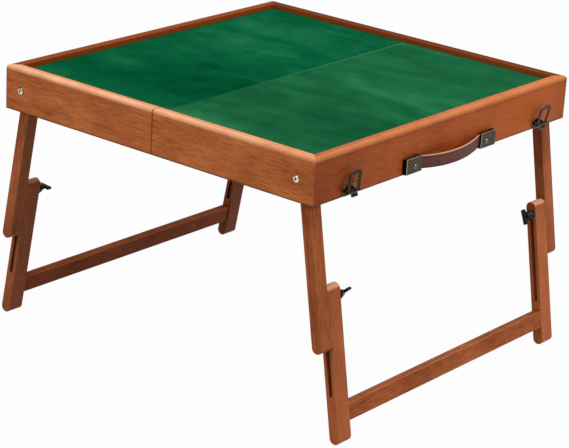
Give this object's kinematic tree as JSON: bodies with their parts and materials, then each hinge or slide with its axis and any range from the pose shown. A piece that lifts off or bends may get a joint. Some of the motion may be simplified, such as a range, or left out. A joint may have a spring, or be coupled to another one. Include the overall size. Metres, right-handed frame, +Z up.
{
  "type": "folding card table",
  "caption": "Square felt-topped folding table in wood: a hinged case whose sliding, splayed legs fold inside, with carrying strap and draw latches.",
  "frame": {"origin": "on the floor under the middle of the joint between the two halves, which is the bottom centre of the whole part", "axes": "+X towards the end with the handle and latches, +Y along the joint between the halves towards the back rail, +Z up"},
  "size_m": [0.7686, 0.7052, 0.4751],
  "materials": {
    "rail_wood": "satin lacquered reddish-brown hardwood",
    "leg_wood": "satin lacquered reddish-brown hardwood",
    "panel_wood": "plain plywood",
    "felt": "short-pile green felt",
    "brass": "polished",
    "bronze": "antique dark bronze",
    "knob_plastic": "glossy black",
    "leather": "maroon-brown strap leather",
    "steel": "zinc plated"
  },
  "bodies": {
    "case_right": {"right_front_rail": "rail_wood", "right_back_rail": "rail_wood", "right_end_rail": "rail_wood", "right_mid_rail": "rail_wood", "right_panel": "panel_wood", "right_felt": "felt", "right_leg_stops": "rail_wood", "right_pivot_bolts": "brass", "right_pivot_washers": "steel", "right_pivot_nuts": "steel", "hinge_leaves_right": "brass", "hinge_screws_right": "brass", "hinge_pins": "brass", "handle_plates": "bronze", "handle_pads": "leather", "handle_rivets": "bronze", "handle_strap": "leather", "latch_bases": "bronze", "latch_pins": "bronze", "latch_screws": "bronze"},
    "case_left": {"left_front_rail": "rail_wood", "left_back_rail": "rail_wood", "left_end_rail": "rail_wood", "left_mid_rail": "rail_wood", "left_panel": "panel_wood", "left_felt": "felt", "left_leg_stops": "rail_wood", "left_pivot_bolts": "brass", "left_pivot_washers": "steel", "left_pivot_nuts": "steel", "hinge_leaves_left": "brass", "hinge_screws_left": "brass", "catches": "bronze", "catch_screws": "bronze"},
    "right_legs": {"right_upper_leg_front": "leg_wood", "right_upper_leg_back": "leg_wood", "right_leg_bushes": "brass", "right_clamp_washers": "steel"},
    "right_lower_frame": {"right_lower_leg_front": "leg_wood", "right_lower_leg_back": "leg_wood", "right_stretcher": "leg_wood"},
    "right_wing_screw_front": {"right_wing_knob_front": "knob_plastic", "right_wing_stud_front": "steel"},
    "right_wing_screw_back": {"right_wing_knob_back": "knob_plastic", "right_wing_stud_back": "steel"},
    "left_legs": {"left_upper_leg_front": "leg_wood", "left_upper_leg_back": "leg_wood", "left_leg_bushes": "brass", "left_clamp_washers": "steel"},
    "left_lower_frame": {"left_lower_leg_front": "leg_wood", "left_lower_leg_back": "leg_wood", "left_stretcher": "leg_wood"},
    "left_wing_screw_front": {"left_wing_knob_front": "knob_plastic", "left_wing_stud_front": "steel"},
    "left_wing_screw_back": {"left_wing_knob_back": "knob_plastic", "left_wing_stud_back": "steel"},
    "latch_lever_front": {"latch_lever_front": "bronze"},
    "latch_loop_front": {"latch_loop_front": "bronze"},
    "latch_lever_back": {"latch_lever_back": "bronze"},
    "latch_loop_back": {"latch_loop_back": "bronze"}
  },
  "joints": [
    {"name": "case_fold", "type": "hinge", "parent": "case_right", "child": "case_left", "pos_m": [0, 0, 0.39807], "axis": [0, -1, 0], "range_deg": [0, 84]},
    {"name": "right_leg_fold", "type": "hinge", "parent": "case_right", "child": "right_legs", "pos_m": [0.3, 0, 0.43557], "axis": [0, 1, 0], "range_deg": [0, 99.9]},
    {"name": "right_leg_slide", "type": "slide", "parent": "right_legs", "child": "right_lower_frame", "axis": [-0.1719, 0, 0.9851], "range_m": [0, 0.159]},
    {"name": "right_wing_turn_front", "type": "hinge", "parent": "right_legs", "child": "right_wing_screw_front", "pos_m": [0.3349, -0.2771, 0.23559], "axis": [0, 1, 0], "range_deg": [0, 270]},
    {"name": "right_wing_turn_back", "type": "hinge", "parent": "right_legs", "child": "right_wing_screw_back", "pos_m": [0.3349, 0.2771, 0.23559], "axis": [0, 1, 0], "range_deg": [0, 270]},
    {"name": "left_leg_fold", "type": "hinge", "parent": "case_left", "child": "left_legs", "pos_m": [-0.3, 0, 0.43557], "axis": [0, -1, 0], "range_deg": [0, 99.9]},
    {"name": "left_leg_slide", "type": "slide", "parent": "left_legs", "child": "left_lower_frame", "axis": [0.1719, 0, 0.9851], "range_m": [0, 0.159]},
    {"name": "left_wing_turn_front", "type": "hinge", "parent": "left_legs", "child": "left_wing_screw_front", "pos_m": [-0.3349, -0.2771, 0.23559], "axis": [0, 1, 0], "range_deg": [0, 270]},
    {"name": "left_wing_turn_back", "type": "hinge", "parent": "left_legs", "child": "left_wing_screw_back", "pos_m": [-0.3349, 0.2771, 0.23559], "axis": [0, 1, 0], "range_deg": [0, 270]},
    {"name": "latch_lever_swing_front", "type": "hinge", "parent": "case_right", "child": "latch_lever_front", "pos_m": [0.3394, -0.2643, 0.40767], "axis": [0, -1, 0], "range_deg": [-50, 0]},
    {"name": "latch_loop_swing_front", "type": "hinge", "parent": "latch_lever_front", "child": "latch_loop_front", "pos_m": [0.345, -0.2643, 0.40767], "axis": [0, 1, 0], "range_deg": [-16, 175]},
    {"name": "latch_lever_swing_back", "type": "hinge", "parent": "case_right", "child": "latch_lever_back", "pos_m": [0.3394, 0.2643, 0.40767], "axis": [0, -1, 0], "range_deg": [-50, 0]},
    {"name": "latch_loop_swing_back", "type": "hinge", "parent": "latch_lever_back", "child": "latch_loop_back", "pos_m": [0.345, 0.2643, 0.40767], "axis": [0, 1, 0], "range_deg": [-23, 168]}
  ]
}
